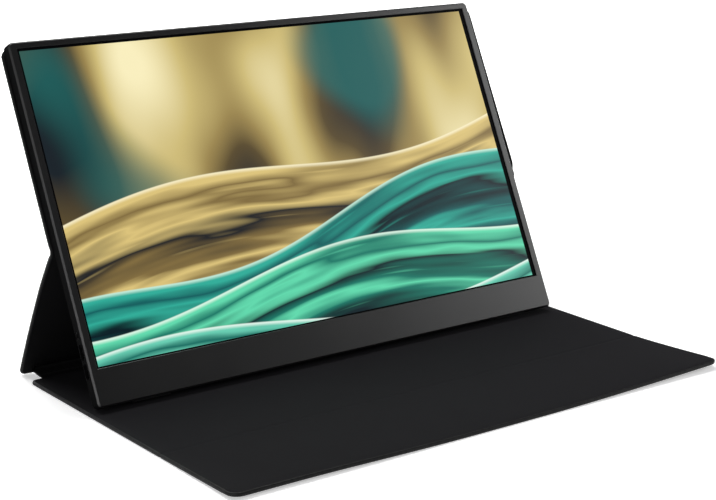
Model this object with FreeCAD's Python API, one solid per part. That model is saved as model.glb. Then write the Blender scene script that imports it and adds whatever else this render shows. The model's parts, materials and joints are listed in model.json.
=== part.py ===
import FreeCAD, Part
import math
import os

# A portable monitor standing on its folding cover.
# X runs along the width, Y towards the back and Z up, in millimetres.
# The origin is on the table, midway along the cover, below the screen's lower front edge.

# Monitor, outside
ACTIVE_W = 344.16
ACTIVE_H = 193.59
SIDE_BORDER = 6.82
TOP_BORDER = 5.9
CHIN = 23.66
CASE_T = 8.5
CASE_R = 3.0
BACK_R = 1.6
BEZEL_T = 1.6
BEZEL_CHAMFER = 1.0
RECESS = 0.8
WINDOW_MARGIN = 1.7
WINDOW_FOOT = 1.0
WINDOW_CHAMFER = 0.3
WALL = 1.6
FLOOR_T = 1.0
LIP_T = 0.8
LIP_DEPTH = 1.2

# Standing pose and cover layout
TILT = 26.3
SEAT_LIFT = 0.3
MONITOR_SHIFT = -1.67
COVER_W = 369.2
BACK_W = 367.4
BACK_SHIFT = 1.8
COVER_GAP = 0.2
APEX_UP = 96.06
UPPER_DROP = 1.0
CREASE_Y = -72.6
FLAP_L = 74.2
SPINE_L = 14.5

# Cover panels
SKIN_T = 0.5
BOARD_T = 1.4
SPINE_BOARD_T = 1.0
EDGE_BEVEL = 0.6
HEM = 3.0
LINING_INSET = 1.5
SETBACK = 4.0
SETBACK_BEVEL = 1.0
LIP_HALF = 0.5
BEAD_R = 1.15
BEAD_GAP = 0.35
SPINE_INSET = 11.0
EAR_GAP = 1.6
STRUT_EAR = 2.2
BASE_EAR = -1.2
FLAP_CORNER_R = 12.0
UPPER_CORNER_R = 9.0
STRUT_CORNER_R = 4.5
BASE_CORNER_R = 4.0

# Clearances, and the length below which two points are one
SLIP = 0.1
TOUCH = 0.001
FIT = 0.15
KEY_FIT = 0.2
OVERRUN = 2.0

# Screen stack, front to back
GLASS_T = 1.0
GLASS_SIDE = 2.9
GLASS_TOP = 2.9
GLASS_FOOT = 7.5
GLASS_FIT = 0.3
FILMS_T = 0.3
GUIDE_T = 0.7
REFLECTOR_T = 0.15
TRAY_T = 0.3
STACK_SIDE = 1.4
STACK_FOOT = 2.5
TRAY_FOOT = 5.8
LIGHT_BAR_T = 0.4
LIGHT_BAR_DEPTH = 0.6
LED_W = 3.0
LED_COUNT = 36

# Driver board under the glass, its flexes and cable
DRIVER_W = 300.0
DRIVER_UP = 4.0
DRIVER_H = 8.0
DRIVER_T = 0.6
FLEX_T = 0.15
FLEX_W = 40.0
FLEX_COUNT = 4
FLEX_LAP = 5.0
FLEX_PITCH = 73.0
POST_R = 1.4
CABLE_W = 22.0
CABLE_T = 0.25
CABLE_LAP = 5.0
CABLE_RISE_UP = 3.5
CABLE_X = -108.0

# Main board and what sits on it
MAIN_L = 125.0
MAIN_H = 46.0
MAIN_UP = 12.0
MAIN_T = 0.6
MAIN_EDGE = 2.0
STANDOFF = 0.4
BOSS_R = 2.2
SCREW_R = 0.75
SCREW_HEAD_R = 1.7
SCREW_HEAD_T = 0.7
SCREW_INSET = 5.0
SCREW_BITE = 0.4
SCREW_SIDES = 8
SCALER_W = 14.0
SCALER_T = 1.2
COIL_W = 5.0
COIL_T = 2.2
PLUG_W = 24.0
PLUG_H = 4.0
PLUG_T = 1.1

# Sockets on the left side, by height above the lower edge
JACK_UP = 44.6
JACK_R = 1.8
JACK_BODY_L = 12.6
JACK_BODY_H = 6.0
JACK_BODY_T = 4.1
JACK_COLLAR_R = 2.02
JACK_REST = 0.4
USB_UPS = (34.3, 22.7)
USB_W = 8.94
USB_H = 3.16
USB_SHELL = 0.3
USB_L = 8.6
USB_TONGUE_W = 6.6
USB_TONGUE_T = 0.7
USB_TONGUE_BACK = 1.4
PORT_FIT = 0.3

# Keys on the right side, by height above the lower edge
POWER_UP = 62.0
UP_UP = 47.0
DOWN_UP = 35.0
KEY_W = 8.6
KEY_H = 2.2
KEY_PROUD = 0.7
KEY_FLANGE = 0.8
KEY_FLANGE_T = 0.7
KEY_TRAVEL = 0.4
KEY_SPARE = 0.1
SWITCH_W = 3.0
SWITCH_T = 1.2
PLUNGER_R = 0.6
PLUNGER_T = 0.3
KEY_BOARD_T = 0.6
KEY_BOARD_EDGE = 5.0
KEY_BOARD_H = 3.6
BRACKET_T = 1.2
BRACKET_W = 4.0
RIBBON_W = 4.0
RIBBON_T = 0.15

# Ribs, magnets and feet
RIB_T = 1.2
RIB_COUNT = 5
RIB_LOW = 74.0
RIB_TOP_GAP = 12.0
RIB_SIDE_GAP = 14.0
MAGNET_L = 24.0
MAGNET_W = 6.0
MAGNET_T = 2.0
MAGNET_FENCE = 0.9
MAGNET_FROM_APEX = 36.0
MAGNET_FROM_TOP = 34.0
MAGNET_PITCH = 236.0
PLATE_T = 1.2
FOOT_L = 26.0
FOOT_W = 3.0
FOOT_T = 0.6
FOOT_PITCH = 284.0
FOOT_BACK = 0.6
SEAT_MAGNET_L = 60.0
SEAT_MAGNET_W = 9.0
SEAT_MAGNET_PITCH = 200.0
FLAP_MAGNET_L = 30.0
FLAP_MAGNET_W = 8.0
FLAP_MAGNET_PITCH = 220.0
FLAP_MAGNET_IN = 8.0
MAGNET_BAR_T = 1.2

# Sizes that follow
CASE_W = ACTIVE_W + 2 * SIDE_BORDER
CASE_H = CHIN + ACTIVE_H + TOP_BORDER
HALF_W = CASE_W / 2
INNER_HALF = HALF_W - WALL
FLOOR_D = CASE_T - FLOOR_T
COVER_T = 2 * SKIN_T + BOARD_T
COVER_HALF = COVER_W / 2
BACK_HALF = BACK_W / 2
SPINE_HALF = COVER_HALF - SPINE_INSET
CUP_R = BEAD_R + BEAD_GAP
FOLD_INSET = SETBACK + SETBACK_BEVEL
SIN_TILT = math.sin(math.radians(TILT))
COS_TILT = math.cos(math.radians(TILT))

GLASS_LOW = CHIN - GLASS_FOOT
GLASS_HIGH = CHIN + ACTIVE_H + GLASS_TOP
GLASS_HALF = ACTIVE_W / 2 + GLASS_SIDE
GLASS_BACK = RECESS + GLASS_T
FILMS_BACK = GLASS_BACK + FILMS_T
GUIDE_BACK = FILMS_BACK + GUIDE_T
REFLECTOR_BACK = GUIDE_BACK + REFLECTOR_T
TRAY_BACK = REFLECTOR_BACK + TRAY_T
STACK_HALF = ACTIVE_W / 2 + STACK_SIDE
STACK_LOW = CHIN - STACK_FOOT
STACK_HIGH = CHIN + ACTIVE_H + STACK_SIDE
TRAY_HALF = STACK_HALF + SLIP + TRAY_T
TRAY_LOW = CHIN - TRAY_FOOT
TRAY_HIGH = STACK_HIGH + SLIP + TRAY_T
DRIVER_FRONT = GLASS_BACK + FLEX_T
DRIVER_BACK = DRIVER_FRONT + DRIVER_T
MAIN_BACK = FLOOR_D - STANDOFF
MAIN_FRONT = MAIN_BACK - MAIN_T
MAIN_LEFT = -INNER_HALF + MAIN_EDGE
MAIN_RIGHT = MAIN_LEFT + MAIN_L
MAIN_HIGH = MAIN_UP + MAIN_H
PORT_MOUTH = -INNER_HALF + FIT
USB_D = MAIN_FRONT - USB_H / 2
JACK_D = (TRAY_BACK + FLOOR_D) / 2
KEY_D = (TRAY_BACK + FLOOR_D) / 2
KEY_FLANGE_OUT = INNER_HALF - KEY_FIT
KEY_FLANGE_IN = KEY_FLANGE_OUT - KEY_FLANGE_T
PLUNGER_TIP = KEY_FLANGE_IN - KEY_TRAVEL - KEY_SPARE
SWITCH_FRONT = PLUNGER_TIP - PLUNGER_T
KEY_BOARD_FRONT = SWITCH_FRONT - SWITCH_T
KEY_BOARD_BACK = KEY_BOARD_FRONT - KEY_BOARD_T
KEY_BOARD_LOW = DOWN_UP - KEY_BOARD_EDGE
KEY_BOARD_HIGH = POWER_UP + KEY_BOARD_EDGE

# Pivots of the folding stand.
# The strut is as long as the way from the apex fold to the rear lower edge, and its foot is as high as
# that edge, so the edge keeps its height while the stand is raised or laid back.
APEX_D = CASE_T + COVER_GAP + COVER_T / 2
SEAT_Z = COVER_T + SEAT_LIFT
MONITOR_Z = SEAT_Z + CASE_T * SIN_TILT
APEX_Y = APEX_UP * SIN_TILT + APEX_D * COS_TILT
APEX_Z = MONITOR_Z + APEX_UP * COS_TILT - APEX_D * SIN_TILT
SEAT_Y = CASE_T * COS_TILT
STRUT_L = math.hypot(APEX_Y - SEAT_Y, APEX_Z - SEAT_Z)
FOOT_Y = 2 * APEX_Y - SEAT_Y
FOOT_Z = SEAT_Z
HINGE_Z = COVER_T / 2
SPINE_SLOPE = math.degrees(math.asin((FOOT_Z - HINGE_Z) / SPINE_L))
REAR_Y = FOOT_Y - SPINE_L * math.cos(math.radians(SPINE_SLOPE))
STRUT_SLOPE = math.degrees(math.atan2(APEX_Z - FOOT_Z, APEX_Y - FOOT_Y))
BASE_L = REAR_Y - CREASE_Y
UPPER_L = CASE_H - APEX_UP - UPPER_DROP

V = FreeCAD.Vector
X_AXIS = V(1, 0, 0)


def put(shape, y, z, turn, x=0):
    """Turn a shape about the X axis through its own origin, then move it."""
    shape.Placement = FreeCAD.Placement(V(x, y, z), FreeCAD.Rotation(X_AXIS, turn))
    return shape


def on_monitor(shape):
    """Place a piece drawn as width, depth behind the front face and height up the screen."""
    return put(shape, 0, MONITOR_Z, -TILT, MONITOR_SHIFT)


def block(x0, x1, y0, y1, z0, z1):
    """Box between two corners."""
    return Part.makeBox(x1 - x0, y1 - y0, z1 - z0, V(x0, y0, z0))


def rod(radius, start, end):
    """Cylinder from one point to another."""
    axis = end - start
    return Part.makeCylinder(radius, axis.Length, start, axis)


def rounded_face(points, radii):
    """Flat face through the points, with an arc of the given radius at each corner."""
    corners = []
    for i, point in enumerate(points):
        before = (points[i - 1] - point).normalize()
        after = (points[(i + 1) % len(points)] - point).normalize()
        half = before.getAngle(after) / 2
        reach = radii[i] / math.tan(half)
        into = point + before * reach
        out = point + after * reach
        bisector = (before + after).normalize()
        middle = point + bisector * (radii[i] / math.sin(half) - radii[i])
        corners.append((into, middle, out))
    edges = []
    for i, (into, middle, out) in enumerate(corners):
        following = corners[(i + 1) % len(corners)][0]
        if radii[i] > 0:
            edges.append(Part.Arc(into, middle, out).toShape())
        if (following - out).Length > TOUCH:
            edges.append(Part.makeLine(out, following))
    return Part.Face(Part.Wire(edges))


def plate(half, low, high, radius, front, back):
    """Rounded rectangle seen from the front, running from one depth to another."""
    points = [V(-half, front, low), V(half, front, low), V(half, front, high), V(-half, front, high)]
    return rounded_face(points, [radius] * 4).extrude(V(0, back - front, 0))


def side_bar(depth, up, height, length, radius, x0, x1):
    """Rounded rectangle seen from the side, running along X. Height is in depth, length up the side."""
    y0 = depth - height / 2
    y1 = depth + height / 2
    z0 = up - length / 2
    z1 = up + length / 2
    points = [V(x0, y0, z0), V(x0, y1, z0), V(x0, y1, z1), V(x0, y0, z1)]
    return rounded_face(points, [radius] * 4).extrude(V(x1 - x0, 0, 0))


def prism(sides, radius, x, z, front, back):
    """Many-sided pin seen from the front, running from one depth to another."""
    turns = [2 * math.pi * i / sides for i in range(sides)]
    points = [V(x + radius * math.cos(turn), front, z + radius * math.sin(turn)) for turn in turns]
    return rounded_face(points, [0] * sides).extrude(V(0, back - front, 0))


def edges_at_depth(shape, depth):
    """Edges that lie wholly at one depth."""
    boxes = [(edge, edge.BoundBox) for edge in shape.Edges]
    return [edge for edge, box in boxes if abs(box.YMin - depth) < SLIP and abs(box.YMax - depth) < SLIP]


def spread(count, pitch):
    """Places of a row of items about zero."""
    return [(i - (count - 1) / 2) * pitch for i in range(count)]


# Monitor casing


def front_bezel():
    """Frame round the screen: a bevelled rim, a pocket for the glass and a lip that enters the casing."""
    body = plate(HALF_W, 0, CASE_H, CASE_R, 0, BEZEL_T)
    body = body.makeChamfer(BEZEL_CHAMFER, edges_at_depth(body, 0))
    lip_half = INNER_HALF - FIT
    lip_r = CASE_R - WALL - FIT
    lip_low = WALL + FIT
    lip_high = CASE_H - WALL - FIT
    lip_back = BEZEL_T + LIP_DEPTH
    lip = plate(lip_half, lip_low, lip_high, lip_r, BEZEL_T, lip_back)
    inside = plate(lip_half - LIP_T, lip_low + LIP_T, lip_high - LIP_T, 0, BEZEL_T, lip_back)
    body = body.fuse(lip.cut(inside))
    post_up = DRIVER_UP + DRIVER_H / 2
    posts = [rod(POST_R, V(x, BEZEL_T, post_up), V(x, DRIVER_FRONT, post_up)) for x in driver_posts()]
    body = body.fuse(posts)
    window_half = ACTIVE_W / 2 + WINDOW_MARGIN
    window_low = CHIN - WINDOW_FOOT
    window_high = CHIN + ACTIVE_H + WINDOW_MARGIN
    body = body.cut(plate(window_half, window_low, window_high, 0, -OVERRUN, lip_back))
    pocket_low = GLASS_LOW - GLASS_FIT
    pocket_high = GLASS_HIGH + GLASS_FIT
    body = body.cut(plate(GLASS_HALF + GLASS_FIT, pocket_low, pocket_high, 0, RECESS, lip_back))
    rim = [e for e in edges_at_depth(body, 0) if abs(e.BoundBox.Center.x) < window_half + SLIP
           and window_low - SLIP < e.BoundBox.Center.z < window_high + SLIP]
    return body.makeChamfer(WINDOW_CHAMFER, rim)


def driver_posts():
    """Places of the posts that carry the driver board, between the flexes and near its ends."""
    return spread(FLEX_COUNT + 1, FLEX_PITCH)


def rear_casing():
    """Tray with rounded back edges, holes for sockets and keys, bosses, magnet fences and ribs."""
    body = plate(HALF_W, 0, CASE_H, CASE_R, BEZEL_T, CASE_T)
    body = body.makeFillet(BACK_R, edges_at_depth(body, CASE_T))
    hollow = plate(INNER_HALF, WALL, CASE_H - WALL, CASE_R - WALL, BEZEL_T - OVERRUN, FLOOR_D)
    body = body.cut(hollow)
    body = body.fuse(casing_ribs() + magnet_fences() + key_brackets())
    bosses = [rod(BOSS_R, V(x, MAIN_BACK, z), V(x, FLOOR_D, z)) for x, z in board_holes()]
    body = body.fuse(bosses)
    holes = [rod(SCREW_R + SLIP, V(x, MAIN_BACK - SLIP, z), V(x, FLOOR_D + SCREW_BITE + SLIP, z))
             for x, z in board_holes()]
    left = -HALF_W - OVERRUN
    right = HALF_W + OVERRUN
    holes.append(rod(JACK_COLLAR_R + FIT, V(left, JACK_D, JACK_UP), V(-INNER_HALF + SLIP, JACK_D, JACK_UP)))
    for up in USB_UPS:
        height = USB_H + 2 * PORT_FIT
        width = USB_W + 2 * PORT_FIT
        holes.append(side_bar(USB_D, up, height, width, height / 2, left, -INNER_HALF + SLIP))
    for up in (POWER_UP, UP_UP, DOWN_UP):
        height = KEY_H + 2 * KEY_FIT
        holes.append(side_bar(KEY_D, up, height, KEY_W + 2 * KEY_FIT, height / 2, INNER_HALF - SLIP, right))
    return body.cut(holes)


def casing_ribs():
    """Upright and cross ribs that carry the panel tray from behind."""
    half = INNER_HALF - RIB_SIDE_GAP
    high = CASE_H - WALL - RIB_TOP_GAP
    front = TRAY_BACK
    ribs = [block(x - RIB_T / 2, x + RIB_T / 2, front, FLOOR_D + FLOOR_T / 2, RIB_LOW, high)
            for x in spread(RIB_COUNT, 2 * half / (RIB_COUNT - 1))]
    reach = half + RIB_T / 2
    ribs += [block(-reach, reach, front, FLOOR_D + FLOOR_T / 2, z - RIB_T / 2, z + RIB_T / 2)
             for z in (RIB_LOW, high)]
    return ribs


def magnet_places():
    """Centres of the holding magnets: across, and up from the lower edge."""
    heights = (APEX_UP + MAGNET_FROM_APEX, CASE_H - MAGNET_FROM_TOP)
    return [(x, z) for x in spread(2, MAGNET_PITCH) for z in heights]


def magnet_bar(x, z, grow, front, back):
    """Bar at one magnet place, seen from the front, grown by a margin all round."""
    half_l = MAGNET_L / 2 + grow
    half_w = MAGNET_W / 2 + grow
    return block(x - half_l, x + half_l, front, back, z - half_w, z + half_w)


def magnet_fences():
    """Low walls that seat the magnets on the casing floor."""
    front = FLOOR_D - MAGNET_T
    fences = []
    for x, z in magnet_places():
        outside = magnet_bar(x, z, SLIP + MAGNET_FENCE, front, FLOOR_D + FLOOR_T / 2)
        fences.append(outside.cut(magnet_bar(x, z, SLIP, front, FLOOR_D)))
    return fences


def key_brackets():
    """Two uprights behind the key board."""
    brackets = []
    for z in (KEY_BOARD_LOW + BRACKET_W / 2, KEY_BOARD_HIGH - BRACKET_W / 2):
        brackets.append(block(KEY_BOARD_BACK - BRACKET_T, KEY_BOARD_BACK, KEY_D - KEY_BOARD_H / 2,
                              FLOOR_D + FLOOR_T / 2, z - BRACKET_W / 2, z + BRACKET_W / 2))
    return brackets


def rubber_feet():
    """Two pads with round ends under the lower edge."""
    feet = []
    for x in spread(2, FOOT_PITCH):
        y0 = BEZEL_T + FOOT_BACK
        points = [V(x - FOOT_L / 2, y0, 0), V(x + FOOT_L / 2, y0, 0),
                  V(x + FOOT_L / 2, y0 + FOOT_W, 0), V(x - FOOT_L / 2, y0 + FOOT_W, 0)]
        feet.append(rounded_face(points, [FOOT_W / 2] * 4).extrude(V(0, 0, -FOOT_T)))
    return Part.makeCompound(feet)


# Screen stack


def lcd_panel():
    """Glass cell."""
    return plate(GLASS_HALF, GLASS_LOW, GLASS_HIGH, 0, RECESS, GLASS_BACK)


def stack_sheet(front, back):
    """One sheet of the backlight."""
    return plate(STACK_HALF, STACK_LOW, STACK_HIGH, 0, front, back)


def panel_tray():
    """Pressed tray that holds the backlight, with a turned-up edge that meets the glass."""
    outside = plate(TRAY_HALF, TRAY_LOW, TRAY_HIGH, 0, GLASS_BACK, TRAY_BACK)
    inside = plate(TRAY_HALF - TRAY_T, TRAY_LOW + TRAY_T, TRAY_HIGH - TRAY_T, 0, GLASS_BACK, REFLECTOR_BACK)
    return outside.cut(inside)


def light_bar():
    """Strip with a row of emitters that face the light guide's lower edge."""
    low = TRAY_LOW + TRAY_T + SLIP
    front = REFLECTOR_BACK - LIGHT_BAR_DEPTH
    strip = plate(STACK_HALF - SLIP, low, low + LIGHT_BAR_T, 0, front, REFLECTOR_BACK)
    pitch = 2 * (STACK_HALF - LED_W) / (LED_COUNT - 1)
    leds = [block(x - LED_W / 2, x + LED_W / 2, front, REFLECTOR_BACK, low + LIGHT_BAR_T, STACK_LOW - SLIP)
            for x in spread(LED_COUNT, pitch)]
    return strip.fuse(leds).removeSplitter()


def driver_board():
    """Long board below the glass that drives the panel."""
    return plate(DRIVER_W / 2, DRIVER_UP, DRIVER_UP + DRIVER_H, 0, DRIVER_FRONT, DRIVER_BACK)


def driver_flexes():
    """Thin tabs from the back of the glass to the driver board."""
    low = DRIVER_UP + DRIVER_H - FLEX_LAP
    tabs = [block(x - FLEX_W / 2, x + FLEX_W / 2, GLASS_BACK, DRIVER_FRONT, low, TRAY_LOW - SLIP)
            for x in spread(FLEX_COUNT, FLEX_PITCH)]
    return Part.makeCompound(tabs)


# Electronics


def board_holes():
    """Screw places of the main board: across, and up."""
    across = (MAIN_LEFT + JACK_BODY_L + SCREW_INSET, MAIN_RIGHT - SCREW_INSET)
    return [(x, z) for x in across for z in (MAIN_UP + SCREW_INSET, MAIN_HIGH - SCREW_INSET)]


def main_board():
    """Board behind the panel at the lower left, notched for the audio socket and drilled for its screws."""
    board = block(MAIN_LEFT, MAIN_RIGHT, MAIN_FRONT, MAIN_BACK, MAIN_UP, MAIN_HIGH)
    front = MAIN_FRONT - OVERRUN
    back = MAIN_BACK + OVERRUN
    notch_half = JACK_BODY_H / 2 + FIT
    notch = block(MAIN_LEFT - OVERRUN, PORT_MOUTH + JACK_BODY_L + FIT, front, back,
                  JACK_UP - notch_half, JACK_UP + notch_half)
    holes = [rod(SCREW_R + FIT, V(x, front, z), V(x, back, z)) for x, z in board_holes()]
    return board.cut([notch] + holes)


def chip(x, z, width, height, thick):
    """Package on the front of the main board."""
    half_w = width / 2
    half_h = height / 2
    return block(x - half_w, x + half_w, MAIN_FRONT - thick, MAIN_FRONT, z - half_h, z + half_h)


def board_chips():
    """Scaler, two power coils and the two cable connectors."""
    middle_x = (MAIN_LEFT + MAIN_RIGHT) / 2
    middle_z = (MAIN_UP + MAIN_HIGH) / 2
    parts = [chip(middle_x, middle_z + SCALER_W / 2, SCALER_W, SCALER_W, SCALER_T)]
    for up in USB_UPS:
        parts.append(chip(MAIN_LEFT + USB_L + 2 * COIL_W, up, COIL_W, COIL_W, COIL_T))
    parts.append(chip(CABLE_X, cable_end_up() + PLUG_H / 2, PLUG_W, PLUG_H, PLUG_T))
    parts.append(chip(MAIN_RIGHT - PLUG_H, ribbon_up(), PLUG_H, PLUG_H, PLUG_T))
    return Part.makeCompound(parts)


def board_screws():
    """Four screws through the main board into its bosses."""
    screws = []
    for x, z in board_holes():
        head = prism(SCREW_SIDES, SCREW_HEAD_R, x, z, MAIN_FRONT - SCREW_HEAD_T, MAIN_FRONT)
        shank = prism(SCREW_SIDES, SCREW_R, x, z, MAIN_FRONT, FLOOR_D + SCREW_BITE)
        screws.append(head.fuse(shank))
    return Part.makeCompound(screws)


def usb_c_sockets():
    """Two flattened shells with a round-ended mouth, standing on the main board."""
    shells = []
    back = PORT_MOUTH + USB_L
    for up in USB_UPS:
        outer = side_bar(USB_D, up, USB_H, USB_W, USB_H / 2, PORT_MOUTH, back)
        height = USB_H - 2 * USB_SHELL
        width = USB_W - 2 * USB_SHELL
        inner = side_bar(USB_D, up, height, width, height / 2, PORT_MOUTH - OVERRUN, back - USB_SHELL)
        shells.append(outer.cut(inner))
    return Part.makeCompound(shells)


def usb_c_tongues():
    """Contact tongues inside the two shells."""
    back = PORT_MOUTH + USB_L - USB_SHELL
    radius = USB_TONGUE_T / 2 - SLIP
    tongues = [side_bar(USB_D, up, USB_TONGUE_T, USB_TONGUE_W, radius, PORT_MOUTH + USB_TONGUE_BACK, back)
               for up in USB_UPS]
    return Part.makeCompound(tongues)


def audio_socket():
    """Socket body beside the board, with a collar in the casing's round hole and a blind bore."""
    start = V(-HALF_W + JACK_REST, JACK_D, JACK_UP)
    seat = V(PORT_MOUTH + SLIP, JACK_D, JACK_UP)
    end = V(PORT_MOUTH + JACK_BODY_L - JACK_COLLAR_R, JACK_D, JACK_UP)
    body = block(PORT_MOUTH, PORT_MOUTH + JACK_BODY_L, JACK_D - JACK_BODY_T / 2, JACK_D + JACK_BODY_T / 2,
                 JACK_UP - JACK_BODY_H / 2, JACK_UP + JACK_BODY_H / 2)
    body = body.fuse(rod(JACK_COLLAR_R, start, seat))
    return body.cut(rod(JACK_R, start - X_AXIS * OVERRUN, end))


def cable_end_up():
    """Height where the panel cable meets the main board's connector."""
    return MAIN_UP + CABLE_RISE_UP


def panel_cable():
    """Flat cable from the back of the driver board to the main board's connector, with two bends."""
    low = DRIVER_UP + DRIVER_H - CABLE_LAP
    bend = DRIVER_UP + DRIVER_H
    high = cable_end_up()
    back = MAIN_FRONT - PLUG_T
    near = [V(CABLE_X, DRIVER_BACK, low), V(CABLE_X, DRIVER_BACK, bend), V(CABLE_X, back - CABLE_T, high),
            V(CABLE_X, back - CABLE_T, high + PLUG_H)]
    far = [V(CABLE_X, back, high + PLUG_H), V(CABLE_X, back, high - CABLE_T),
           V(CABLE_X, DRIVER_BACK + CABLE_T, bend - CABLE_T), V(CABLE_X, DRIVER_BACK + CABLE_T, low)]
    ribbon = rounded_face(near + far, [0] * len(near + far)).extrude(V(CABLE_W, 0, 0))
    ribbon.translate(V(-CABLE_W / 2, 0, 0))
    return ribbon


def ribbon_up():
    """Height of the ribbon to the keys."""
    return KEY_BOARD_LOW + RIBBON_W


def button_ribbon():
    """Ribbon on the casing floor from the main board's connector to the key board."""
    left = MAIN_RIGHT + SLIP
    right = KEY_BOARD_BACK
    z0 = ribbon_up() + RIBBON_W
    return block(left, right, FLOOR_D - RIBBON_T, FLOOR_D, z0 - RIBBON_W / 2, z0 + RIBBON_W / 2)


def button_board():
    """Upright board behind the side keys."""
    return block(KEY_BOARD_BACK, KEY_BOARD_FRONT, KEY_D - KEY_BOARD_H / 2, KEY_D + KEY_BOARD_H / 2,
                 KEY_BOARD_LOW, KEY_BOARD_HIGH)


def button_switches():
    """One switch with a round plunger behind each key."""
    switches = []
    for up in (POWER_UP, UP_UP, DOWN_UP):
        body = side_bar(KEY_D, up, SWITCH_W, SWITCH_W, 0, KEY_BOARD_FRONT, SWITCH_FRONT)
        plunger = rod(PLUNGER_R, V(SWITCH_FRONT, KEY_D, up), V(PLUNGER_TIP, KEY_D, up))
        switches.append(body.fuse(plunger))
    return Part.makeCompound(switches)


def side_key(up):
    """Round-ended key in the right wall, held by a wider flange inside."""
    cap = side_bar(KEY_D, up, KEY_H, KEY_W, KEY_H / 2, KEY_FLANGE_OUT, HALF_W + KEY_PROUD)
    height = KEY_H + 2 * KEY_FLANGE
    flange = side_bar(KEY_D, up, height, KEY_W + 2 * KEY_FLANGE, height / 2, KEY_FLANGE_IN, KEY_FLANGE_OUT)
    return cap.fuse(flange)


def casing_magnets():
    """Bar magnets on the casing floor that hold the upper cover panel."""
    return Part.makeCompound([magnet_bar(x, z, 0, FLOOR_D - MAGNET_T, FLOOR_D) for x, z in magnet_places()])


# Cover panels, each drawn flat along Y with its inner side up and its middle at height zero


def groove(end, inward, half, thick, side):
    """Wedge that thins a panel beside a fold. Inward is the way from the fold into the panel."""
    outer = side * (thick / 2 + OVERRUN)
    lip = side * LIP_HALF
    top = side * thick / 2
    y0 = end - inward * OVERRUN
    y1 = end + inward * (SETBACK - SETBACK_BEVEL)
    y2 = end + inward * SETBACK
    section = [(y0, lip), (y1, lip), (y2, top), (y2, outer), (y0, outer)]
    points = [V(-half, y, z) for y, z in section]
    return rounded_face(points, [0] * len(points)).extrude(V(2 * half, 0, 0))


def end_points(half, end, inward, ear, radius):
    """Outline points of one end, from left to right, with their corner radii.

    An end with ears is notched for the narrower spine; ear is how far the ears pass the fold line.
    """
    if ear is None:
        return [(-half, end), (half, end)], [radius, radius]
    notch = SPINE_HALF + EAR_GAP
    y_ear = end - inward * ear
    y_in = end + inward * SETBACK
    left = [(-half, y_ear), (-notch, y_ear), (-notch, y_in), (-SPINE_HALF, y_in), (-SPINE_HALF, end)]
    right = [(-x, y) for x, y in reversed(left)]
    return left + right, [radius] + [0] * 8 + [radius]


def layer(half, length, near, far, margin):
    """Maker of one inner layer of a panel: a sheet held back from the free edges by a margin.

    The maker takes how far the sheet grows past its own outline, and the heights where it starts and ends.
    """
    x = half - margin
    ends = [margin if end[0] == "free" else FOLD_INSET for end in (near, far)]
    rounds = [max(end[2] - margin, 0) if end[0] == "free" else 0 for end in (near, far)]

    def sheet(grow, low, high):
        front = ends[0] - grow
        back = length - ends[1] + grow
        corners = [(-x - grow, front), (x + grow, front), (x + grow, back), (-x - grow, back)]
        radii = [r + grow if r > 0 else 0 for r in (rounds[0], rounds[0], rounds[1], rounds[1])]
        return rounded_face([V(*corner, low) for corner in corners], radii).extrude(V(0, 0, high - low))

    return sheet


def panel(half, length, board_t, near, far):
    """Skin, board and lining of one cover panel.

    near and far describe the ends at zero and at the full length: the kind of end (free, bead or cup), the
    reach of its ears (None without ears) and its corner radius. A bead is a round edge on the fold's axis,
    and a cup is the hollow edge that turns round it.
    """
    thick = board_t + 2 * SKIN_T
    near_points, near_radii = end_points(half, 0, 1, near[1], near[2])
    far_points, far_radii = end_points(half, length, -1, far[1], far[2])
    points = [V(x, y, -thick / 2) for x, y in near_points + far_points[::-1]]
    skin = rounded_face(points, near_radii + far_radii[::-1]).extrude(V(0, 0, thick))
    rims = [e for e in skin.Edges if e.BoundBox.ZLength < SLIP]
    skin = skin.makeChamfer(EDGE_BEVEL, rims)
    for (kind, ear, _), end, inward in ((near, 0, 1), (far, length, -1)):
        if kind == "free":
            continue
        reach = half + OVERRUN if ear is None else SPINE_HALF + EAR_GAP
        skin = skin.cut([groove(end, inward, reach, thick, side) for side in (-1, 1)])
        lip_half = half if ear is None else SPINE_HALF
        if kind == "bead":
            skin = skin.fuse(rod(BEAD_R, V(-lip_half, end, 0), V(lip_half, end, 0)))
        else:
            skin = skin.cut(rod(CUP_R, V(-lip_half - SLIP, end, 0), V(lip_half + SLIP, end, 0)))
    stiffener = layer(half, length, near, far, HEM)
    cloth = layer(half, length, near, far, LINING_INSET)
    board = stiffener(0, -board_t / 2, board_t / 2)
    lining = cloth(0, board_t / 2, thick / 2)
    hollows = [stiffener(SLIP, -board_t / 2, board_t / 2), cloth(SLIP, board_t / 2, thick / 2 + OVERRUN)]
    return skin.cut(hollows), board, lining


def board_with_plates(board, plates):
    """Cut pockets for magnets or steel plates through a board, and return the board and the plates."""
    pockets = []
    for shape in plates:
        box = shape.BoundBox
        pockets.append(block(box.XMin - SLIP, box.XMax + SLIP, box.YMin - SLIP, box.YMax + SLIP,
                             box.ZMin - OVERRUN, box.ZMax + OVERRUN))
    return board.cut(pockets), Part.makeCompound(plates)


def bar_plates(pitch, length, width, y):
    """A pair of flat bars across a board."""
    low = -MAGNET_BAR_T / 2
    return [block(x - length / 2, x + length / 2, y - width / 2, y + width / 2, low, low + MAGNET_BAR_T)
            for x in spread(2, pitch)]


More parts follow.
